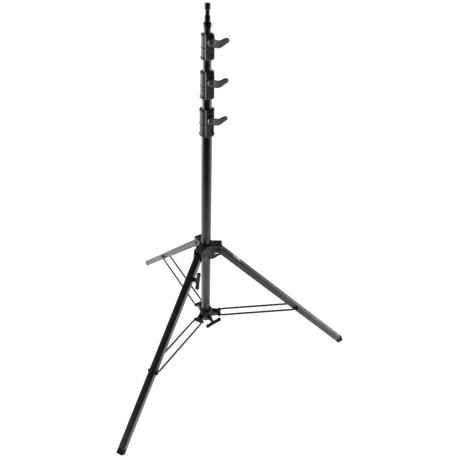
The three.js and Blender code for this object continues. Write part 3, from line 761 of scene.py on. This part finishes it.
def squareTube(name, size, wall, corner, start, end):
    # a bar with rounded long edges, hollow as far as its inset ends are pushed in
    half = size / 2
    piece = block(name, (start, -half, -half), (end, half, half))
    makeActive(piece)
    bpy.ops.object.mode_set(mode="EDIT")
    selectWhere(piece, edges=runsAlongX)
    bpy.ops.mesh.bevel(offset=corner * mm, segments=5)
    for way in (1, -1):
        selectWhere(piece, faces=lambda face: face.normal.x * way > 0.9)
        bpy.ops.mesh.inset(thickness=wall * mm)
        push = -way * legs["hollow"] * mm
        bpy.ops.mesh.extrude_region_move(TRANSFORM_OT_translate={"value": (push, 0, 0)})
    bpy.ops.object.mode_set(mode="OBJECT")
    fixNormals(piece)
    return piece


def makeLeg(name):
    matrix = legMatrix(name)
    inverse = matrix.inverted()
    footNode = "foot_" + name
    points = [inverse @ vert.co for vert in nodes[footNode].data.vertices]
    footEnd = max(point.x for point in points) / mm - legs["endRound"]
    tubeEnd = footEnd - legs["foot"] + legs["endRound"]
    node = "leg_front_outer" if name == "front" else "leg_" + name
    piece = squareTube(node, legs["size"], legs["wall"], legs["corner"], -legs["tail"], tubeEnd)
    soften(piece, 0.35, 2, 40)
    cutAway(piece, [boreY(boltHoles["leg"], -30, 30, 40)])
    smoothPiece(piece)
    body = "leg_" + name
    place(piece, matrix, "leg" + name.title(), body, "tube_paint", tubeCoat, node)
    makeFoot(name, matrix, tubeEnd, footEnd, "leg_front_inner" if name == "front" else body)


def makeFoot(name, matrix, tubeEnd, footEnd, body):
    half = legs["size"] / 2
    cap = block("foot", (tubeEnd + 0.3, -half, -half), (footEnd, half, half))
    makeActive(cap)
    bpy.ops.object.mode_set(mode="EDIT")
    selectWhere(cap, edges=runsAlongX)
    bpy.ops.mesh.bevel(offset=feet["corner"] * mm, segments=4)
    bpy.ops.object.mode_set(mode="OBJECT")
    soften(cap, feet["edge"], 4, 40)
    wide = half + 1
    grooves = [block("groove", (footEnd - step, -wide, -wide), (footEnd - step + feet["groove"], wide, wide))
               for step in feet["grooves"]]
    slim = half - feet["inset"]
    core = block("core", (tubeEnd - 5, -slim, -slim), (footEnd - 4, slim, slim))
    soften(core, 2, 3, 40)
    cutAway(cap, grooves)
    plug = feet["frontPlug"] if name == "front" else feet["plug"]
    stem = block("stem", (tubeEnd - feet["plugLength"], -plug, -plug), (footEnd - 5, plug, plug))
    soften(stem, 1.8, 3, 40)
    if name == "front":
        fit = feet["frontPlugFit"] / plug
        reshape(stem, Matrix.Diagonal((1, fit, fit, 1)))
    for part in (core, stem):
        applyModifier(cap, "BOOLEAN", operation="UNION", object=part, solver="EXACT")
        bpy.data.objects.remove(part)
    # the foot is flat where it stands on the floor
    reshape(cap, matrix)
    cutAway(cap, [block("ground", (-2000, -2000, -50), (2000, 2000, 0))])
    smoothPiece(cap)
    place(cap, Matrix.Identity(4), "foot" + name.title(), body, "rubber", rubberBlack, "foot_" + name)


def makeBolt(name, span, shank, head, nut, headHeight, nutHeight):
    # hexagon bolt along Y with its nut and two washers, span from bearing face to bearing face
    half = span / 2
    shaft = turned("shaft", [[shank, -half - 1], [shank, half + nutHeight + 1.2]], 40)
    hexHead = turned("head", [[head * 0.86, -half - headHeight], [head, -half - headHeight + 0.8],
                              [head, -half - 0.6]], 6)
    hexNut = turned("nut", [[nut, half + 0.6], [nut, half + nutHeight - 0.7],
                            [nut * 0.88, half + nutHeight]], 6)
    washers = [turned("washer", [[head + 0.5, -half - 0.6], [head + 0.5, -half]], 48),
               turned("washer", [[nut + 0.5, half], [nut + 0.5, half + 0.6]], 48)]
    piece = joined(name, [shaft, hexHead, hexNut] + washers)
    soften(piece, 0.25, 2, 40)
    alongY(piece)
    smoothPiece(piece)
    return piece


def makePivotBolts():
    inner = shoulder["legHalf"] + shoulder["clear"] + shoulder["cheek"]
    master = makeBolt("pivotBolt", 2 * (inner - 1.7), 4, 6.1, 6.3, 4, 4)
    for name in legNames:
        place(copied(master), clevisMatrix(name), "pivotBolt" + name.title(), "base", "fastener", screwSteel,
              "leg_pivot_bolt_" + name)
    bpy.data.objects.remove(master)


label = {"start": 64, "end": 104, "half": 8.5, "thick": 0.22, "corner": 2.5, "edge": 0.07}


def makeLabel():
    # blank film on the right leg's upper face
    top, half = legs["size"] / 2, label["half"]
    piece = block("label", (label["start"], -half, top), (label["end"], half, top + label["thick"]))
    makeActive(piece)
    bpy.ops.object.mode_set(mode="EDIT")
    selectWhere(piece, edges=lambda edge: abs(edge.verts[0].co.z - edge.verts[1].co.z) > 0.1 * mm)
    bpy.ops.mesh.bevel(offset=label["corner"] * mm, segments=5)
    bpy.ops.object.mode_set(mode="OBJECT")
    fixNormals(piece)
    soften(piece, label["edge"], 2, 50)
    smoothPiece(piece)
    place(piece, legMatrix("right"), "labelRight", "leg_right", None, labelFilm)


# Levelling leg
knob = {"bar": 67, "radius": 7.6, "stem": 6, "voxel": 0.55, "melt": 6}
levelling = {"size": 21, "wall": 1.5, "corner": 2, "bossTop": 21, "bossRadius": 8.2}


def makeKnobMaster(stemLength):
    # T-handle: bar along Y centred on the origin, stem towards -X
    half, radius = knob["bar"] / 2, knob["radius"]
    bar = alongY(turned("bar", [
        [radius - 2, -half], [radius - 0.4, -half + 1.2], [radius, -half + 3], [radius, -half + 9],
        [radius - 0.8, -half + 18], [radius - 0.8, half - 18], [radius, half - 9], [radius, half - 3],
        [radius - 0.4, half - 1.2], [radius - 2, half]], 64))
    stem = alongX(turned("stem", [
        [knob["stem"] + 1.4, -stemLength], [knob["stem"] + 1.4, -stemLength + 2.5],
        [knob["stem"], -stemLength + 4.5], [knob["stem"], -9], [knob["stem"] + 2.5, -4],
        [knob["stem"], 0]], 64))
    web = block("web", (-9, -15, -2.2), (2, 15, 2.2))
    soften(web, 1.5, 2)
    piece = joined("knobMaster", [bar, stem, web])
    cast(piece, knob["voxel"], knob["melt"])
    return piece


def makeKnob(name, stemLength, screwNode):
    centre, axis = jointPlace(name + "_turn")
    matrix = placeMatrix(centre, axis, up.cross(axis))
    piece = makeKnobMaster(stemLength)
    reshape(piece, Matrix.Rotation(knobTilt(name), 4, "X"))
    smoothPiece(piece, 40)
    place(piece, matrix, name.replace("_k", "K"), name, "knob", knobPlastic, name)
    inverse = matrix.inverted()
    ends = [(inverse @ vert.co).x / mm for vert in nodes[screwNode].data.vertices]
    screw = alongX(turned("screw", [[3.2, min(ends)], [4, min(ends) + 1], [4, -stemLength - 0.6],
                                    [3.6, -stemLength - 0.1], [3.6, -stemLength + 8]], 40))
    soften(screw, 0.2, 2)
    smoothPiece(screw)
    place(screw, matrix, screwNode.replace("_s", "S"), name, "fastener", screwSteel, screwNode)


def makeLevelling():
    matrix = legMatrix("front")
    inverse = matrix.inverted()
    centre = inverse @ jointPlace("levelling_knob_turn")[0]
    bossTop, ringRadius = levelling["bossTop"], levelling["bossRadius"]
    boss = alongY(turned("boss", [[9.5, 12.8], [9.5, 17], [8.6, 18.5], [7.6, bossTop]], 6))
    ring = alongY(turned("ring", [[ringRadius, 12.8], [ringRadius, bossTop]], 64))
    piece = joined("boss", [boss, ring])
    cast(piece, 0.6, 4)
    cutAway(piece, [boreY(4.3, 5, 30, 40)])
    smoothPiece(piece, 40)
    moved(piece, centre.x / mm, 0, 0)
    place(piece, matrix, "levellingBoss", "leg_front", "casting", castBlack, "levelling_boss")
    stemLength = centre.y / mm - bossTop - 0.3
    makeKnob("levelling_knob", stemLength, "levelling_screw")
    ends = [(inverse @ vert.co).x / mm for vert in nodes["leg_front_inner"].data.vertices]
    inside = squareTube("inner", levelling["size"], levelling["wall"], levelling["corner"],
                        min(ends), max(ends))
    soften(inside, 0.3, 2, 40)
    smoothPiece(inside)
    place(inside, matrix, "levellingInnerLeg", "leg_front_inner", "tube_paint", tubeCoat, "leg_front_inner")


def knobTilt(node):
    # the bar's turn about the screw, read from the farthest points of the node
    centre, axis = jointPlace(node + "_turn")
    inverse = placeMatrix(centre, axis, up.cross(axis)).inverted()
    points = [inverse @ vert.co for vert in nodes[node].data.vertices]
    farther = 0.8 * knob["bar"] / 2 * mm
    far = [p for p in points if math.hypot(p.y, p.z) > farther and (p.y > 0 or p.z > 0.02)]
    middle = sum((Vector((0, p.y, p.z)) for p in far), Vector()) / len(far)
    return math.atan2(middle.z, middle.y)


# Spreader and braces
spreader = {"hub": 26, "gap": 0.5, "lugHalf": 12.5, "eye": 7.5, "pocketHalf": 7.5, "voxel": 0.8,
            "melt": 5, "boss": 9.5}


def makeSpreader():
    low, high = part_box("spreader_casting")
    bottom, top = low.z / mm, high.z / mm
    pivot = joints["brace_right_fold"]["pos_m"]
    reach, height = (pivot[0] - columnPlace.x) / mm, pivot[2] / mm
    hub, eye = spreader["hub"], spreader["eye"]
    pieces = [turned("hub", [
        [hub - 2, bottom], [hub, bottom + 2.5], [hub, bottom + 7], [hub - 1, bottom + 8.5],
        [hub - 1, top - 8.5], [hub, top - 7], [hub, top - 2.5], [hub - 2, top]])]
    cutters = []
    outline = [[18, height - 13], [34, height - 10.5], [44, height - 8]]
    outline += arcPoints((reach, height), eye, -90, 90, 10)
    outline += [[44, height + 8], [34, height + 10.5], [18, height + 13]]
    half = spreader["lugHalf"]
    for name in legNames:
        side = joints["leg_" + name + "_fold"]["axis"]
        turn = Matrix.Rotation(math.atan2(-side[0], side[1]), 4, "Z")
        lug = plate("lug", outline, -half, half)
        pieces.append(reshape(lug, turn))
        cutters.append(reshape(moved(boreY(boltHoles["brace"], -40, 40), reach, 0, height), turn))
        wide = spreader["pocketHalf"]
        for low, high in ((height + 2.5, height + 20), (height - 20, height - 2.5)):
            cutters.append(reshape(block("pocket", (31, -wide, low), (47, wide, high)), turn))
    centre, axis = jointPlace("spreader_knob_turn")
    knobTurn = Matrix.Rotation(math.atan2(axis.y, axis.x), 4, "Z")
    knobHeight = centre.z / mm
    knobPlace = Vector((columnPlace.x, columnPlace.y, centre.z))
    inverse = placeMatrix(knobPlace, axis, up.cross(axis)).inverted()
    stemStart = min((inverse @ vert.co).x for vert in nodes["spreader_knob"].data.vertices) / mm
    boss = alongX(turned("boss", [[spreader["boss"] + 2, 20], [spreader["boss"], 28],
                                  [spreader["boss"], stemStart - 0.3]], 48))
    pieces.append(reshape(moved(boss, 0, 0, knobHeight), knobTurn))
    piece = joined("spreader", pieces)
    cast(piece, spreader["voxel"], spreader["melt"])
    cutters += [boreZ(tubes["radius"][0] + spreader["gap"], bottom - 9, top + 9),
                reshape(moved(boreX(4.3, 10, 60), 0, 0, knobHeight), knobTurn)]
    cutAway(piece, cutters)
    smoothPiece(piece, 40)
    place(piece, atColumn, "spreaderCasting", "spreader", "casting", castBlack, "spreader_casting")
    knobReach = (inverse @ centre).x / mm
    makeKnob("spreader_knob", knobReach - stemStart, "spreader_screw")


brace = {"offset": 17.2, "eyeMiddle": 15.5, "eyeOuter": 18.3,
         # along the rod: distance from the eye's middle, half height, half thickness
         "eye": ((-7.5, 2.2, 1.3), (-6.6, 4.4, 2.2), (-4.4, 6.6, 2.5), (0, 7.5, 2.5), (4.6, 6.8, 2.5),
                 (8.5, 5.2, 2.7), (12.5, 4.2, 3.4), (17, 4, 4))}


def makeBraceRod(length):
    # a round bar drawn out flat and rounded at both ends, sections pulled from one to the next
    ends = brace["eye"]
    stations = [(x, h, t) for x, h, t in ends] + [(length - x, h, t) for x, h, t in reversed(ends)]
    deselectAll()
    x, high, thick = stations[0]
    bpy.ops.mesh.primitive_circle_add(vertices=32, radius=1 * mm, fill_type="NGON",
                                      rotation=(0, math.pi / 2, 0), location=(0, 0, 0))
    piece = bpy.context.object
    bpy.ops.object.transform_apply(location=True, rotation=True, scale=True)
    bpy.ops.object.mode_set(mode="EDIT")
    bpy.ops.mesh.select_all(action="SELECT")
    bpy.ops.transform.resize(value=(1, thick, high), center_override=(0, 0, 0))
    bpy.ops.transform.translate(value=(x * mm, 0, 0))
    for nextX, nextHigh, nextThick in stations[1:]:
        bpy.ops.mesh.extrude_region_move(TRANSFORM_OT_translate={"value": ((nextX - x) * mm, 0, 0)})
        bpy.ops.transform.resize(value=(1, nextThick / thick, nextHigh / high),
                                 center_override=(nextX * mm, 0, 0))
        x, high, thick = nextX, nextHigh, nextThick
    bpy.ops.object.mode_set(mode="OBJECT")
    fixNormals(piece)
    applyModifier(piece, "SUBSURF", levels=1, render_levels=1)
    shift = brace["eyeMiddle"] - brace["offset"]
    for vert in piece.data.vertices:
        along = min(vert.co.x, length * mm - vert.co.x) / mm
        blendIn = min(1, max(0, (along - 5) / 14))
        vert.co.y += (1 - blendIn) * shift * mm
    bolt = boltHoles["brace"]
    cutAway(piece, [boreY(bolt, -30, 30), moved(boreY(bolt, -30, 30), length)])
    smoothPiece(piece, 45)
    return piece


def makeBraces():
    length = braceMatrix("right")[1]
    left = makeBraceRod(length)
    right = copied(left)
    moved(left, 0, brace["offset"], 0)
    reshape(right, Matrix.Diagonal((1, -1, 1, 1)))
    fixNormals(right)
    smoothPiece(right, 45)
    moved(right, 0, -brace["offset"], 0)
    face = brace["eyeOuter"]
    rivet = alongY(turned("rivet", [[2.6, 12.8], [3, 13.2], [3, face], [5.5, face], [5.6, face + 0.6],
                                    [5, face + 1.6], [3.8, face + 2.4], [2, face + 2.8]], 48))
    smoothPiece(rivet)
    bolt = makeBolt("spreaderBolt", 2 * face, 3, 5.2, 5.2, 3, 3.4)
    rivetEnd = Matrix.Translation((length * mm, 0, 0))
    halfTurn = Matrix.Rotation(math.pi, 4, "Z")
    for name in legNames:
        matrix = braceMatrix(name)[0]
        body = "brace_" + name
        title = name.title()
        for hand, rod in (("left", left), ("right", right)):
            place(copied(rod), matrix, "rod" + title + hand.title(), body, "tube_paint", tubeCoat,
                  "brace_rod_%s_%s" % (name, hand))
        for hand, turn in (("left", Matrix.Identity(4)), ("right", halfTurn)):
            place(copied(rivet), matrix @ rivetEnd @ turn, "rivet" + title + hand.title(), body,
                  "fastener", screwSteel, "brace_rivet_%s_%s" % (name, hand))
        pivot, side = jointPlace("brace_" + name + "_fold")
        place(copied(bolt), placeMatrix(pivot, side.cross(up), side), "spreaderBolt" + title, "spreader",
              "fastener", screwSteel, "spreader_bolt_" + name)
    for piece in (left, right, rivet, bolt):
        bpy.data.objects.remove(piece)


# What stays as the frame has it: inside the column
def dressHidden():
    looks = {"spigot_pin": plainSteel}
    for number in (1, 2, 3):
        looks["riser_%d_guide" % number] = bushPlastic
        looks["clamp_pad_%d" % number] = padBrass
    for node, material in looks.items():
        mesh = nodes[node].data
        mesh.materials.clear()
        mesh.materials.append(material)


makeColumn()
print("column made")
for number in (1, 2, 3):
    makeCollar(number)
makeLevers()
makeSpigot()
print("clamps and spigot made")
makeShoulder()
for legName in legNames:
    makeLeg(legName)
makePivotBolts()
makeLabel()
print("shoulder and legs made")
makeSpreader()
makeLevelling()
makeBraces()
dressHidden()
print("spreader, braces and levelling leg made")


# Studio
studio = {"floor": 12, "floorFront": -1.1, "keyLeft": 42, "fillRight": 20, "world": 0.9, "above": 0.03}


def makeFloor():
    deselectAll()
    middle = studio["floor"] / 2 + studio["floorFront"]
    bpy.ops.mesh.primitive_plane_add(size=studio["floor"], location=(0, middle, -0.0002))
    floor = bpy.context.object
    floor.name = "studioFloor"
    material, tree, shader = newMaterial("whiteSweep")
    shader.inputs["Base Color"].default_value = linear("#f2f2f2")
    shader.inputs["Roughness"].default_value = 0.9
    output = next(node for node in tree.nodes if node.type == "OUTPUT_MATERIAL")
    rays = addNode(tree, "ShaderNodeLightPath")
    seen = addNode(tree, "ShaderNodeMath", {"operation": "MAXIMUM"}, {
        0: rays.outputs["Is Camera Ray"], 1: rays.outputs["Is Glossy Ray"]})
    seen = addNode(tree, "ShaderNodeMath", {"operation": "MAXIMUM"}, {
        0: seen.outputs["Value"], 1: rays.outputs["Is Transmission Ray"]})
    glow = addNode(tree, "ShaderNodeEmission", inputs={"Color": (1, 0.98, 0.98, 1), "Strength": 0.95})
    none = addNode(tree, "ShaderNodeEmission", inputs={"Color": (0, 0, 0, 1), "Strength": 0})
    lift = addNode(tree, "ShaderNodeMixShader", inputs={
        0: seen.outputs["Value"], 1: none.outputs["Emission"], 2: glow.outputs["Emission"]})
    both = addNode(tree, "ShaderNodeAddShader", inputs={0: shader.outputs["BSDF"], 1: lift.outputs["Shader"]})
    tree.links.new(both.outputs["Shader"], output.inputs["Surface"])
    floor.data.materials.append(material)


def makeWorld():
    # white sweep behind and beside the stand, an unlit room above and in front of it
    world = bpy.data.worlds.new("studioRoom")
    bpy.context.scene.world = world
    world.use_nodes = True
    tree = world.node_tree
    tree.nodes.clear()
    output = tree.nodes.new("ShaderNodeOutputWorld")
    rays = addNode(tree, "ShaderNodeLightPath")
    direction = addNode(tree, "ShaderNodeTexCoord").outputs["Generated"]
    parts = addNode(tree, "ShaderNodeSeparateXYZ", inputs={"Vector": direction})
    height = addRamp(tree, parts.outputs["Z"], [
        (0.0, grey(1)), (0.22, grey(1)), (0.5, grey(studio["above"])), (1.0, grey(studio["above"]))])
    depth = addNode(tree, "ShaderNodeMapRange", inputs={
        "Value": parts.outputs["Y"], "From Min": -0.75, "From Max": -0.1, "To Min": 0.06, "To Max": 1})
    level = addNode(tree, "ShaderNodeMath", {"operation": "MULTIPLY"}, {
        0: height.outputs["Color"], 1: depth.outputs["Result"]})
    scaled = addNode(tree, "ShaderNodeMath", {"operation": "MULTIPLY"}, {
        0: level.outputs["Value"], 1: studio["world"]})
    room = addNode(tree, "ShaderNodeBackground", inputs={
        "Color": (1, 0.97, 0.97, 1), "Strength": scaled.outputs["Value"]})
    white = addNode(tree, "ShaderNodeBackground", inputs={"Color": (1, 1, 1, 1), "Strength": 1})
    addNode(tree, "ShaderNodeMixShader", inputs={
        0: rays.outputs["Is Camera Ray"], 1: room.outputs["Background"], 2: white.outputs["Background"]},
        outputs={"Shader": output.inputs["Surface"]})


def addLamp(name, location, target, size, power):
    lamp = bpy.data.lights.new(name, "AREA")
    lamp.shape = "RECTANGLE"
    lamp.size, lamp.size_y = size
    lamp.energy = power
    piece = bpy.data.objects.new(name, lamp)
    bpy.context.scene.collection.objects.link(piece)
    piece.location = location
    piece.rotation_euler = (Vector(target) - Vector(location)).to_track_quat("-Z", "Y").to_euler()


def makeCamera():
    # eye height, slope and turn of the view, the column's foot as origin
    view = {"eye": (0, -1.4516, 1.7005), "yaw": 3.247, "pitch": 36.92, "roll": 2.304, "lens": 39.6}
    yaw, pitch, roll = (math.radians(view[key]) for key in ("yaw", "pitch", "roll"))
    forward = Vector((math.sin(yaw) * math.cos(pitch), math.cos(yaw) * math.cos(pitch), -math.sin(pitch)))
    right = Vector((math.cos(yaw), -math.sin(yaw), 0))
    upward = right.cross(forward)
    across = right * math.cos(roll) + upward * math.sin(roll)
    above = upward * math.cos(roll) - right * math.sin(roll)
    data = bpy.data.cameras.new("camera")
    data.lens = view["lens"]
    data.sensor_width = 36
    camera = bpy.data.objects.new("camera", data)
    bpy.context.scene.collection.objects.link(camera)
    turn = Matrix((across, above, -forward)).transposed().to_4x4()
    camera.matrix_world = Matrix.Translation(columnPlace + Vector(view["eye"])) @ turn
    bpy.context.scene.camera = camera


makeFloor()
makeWorld()
addLamp("keyLeft", (-2.6, 0.7, 0.8), (0, 0, 0.6), (1.2, 1.5), studio["keyLeft"])
addLamp("fillRight", (2.4, 0.5, 0.9), (0, 0, 0.6), (1.0, 1.6), studio["fillRight"])
makeCamera()
bpy.context.scene.view_settings.view_transform = "Standard"
print("studio made")
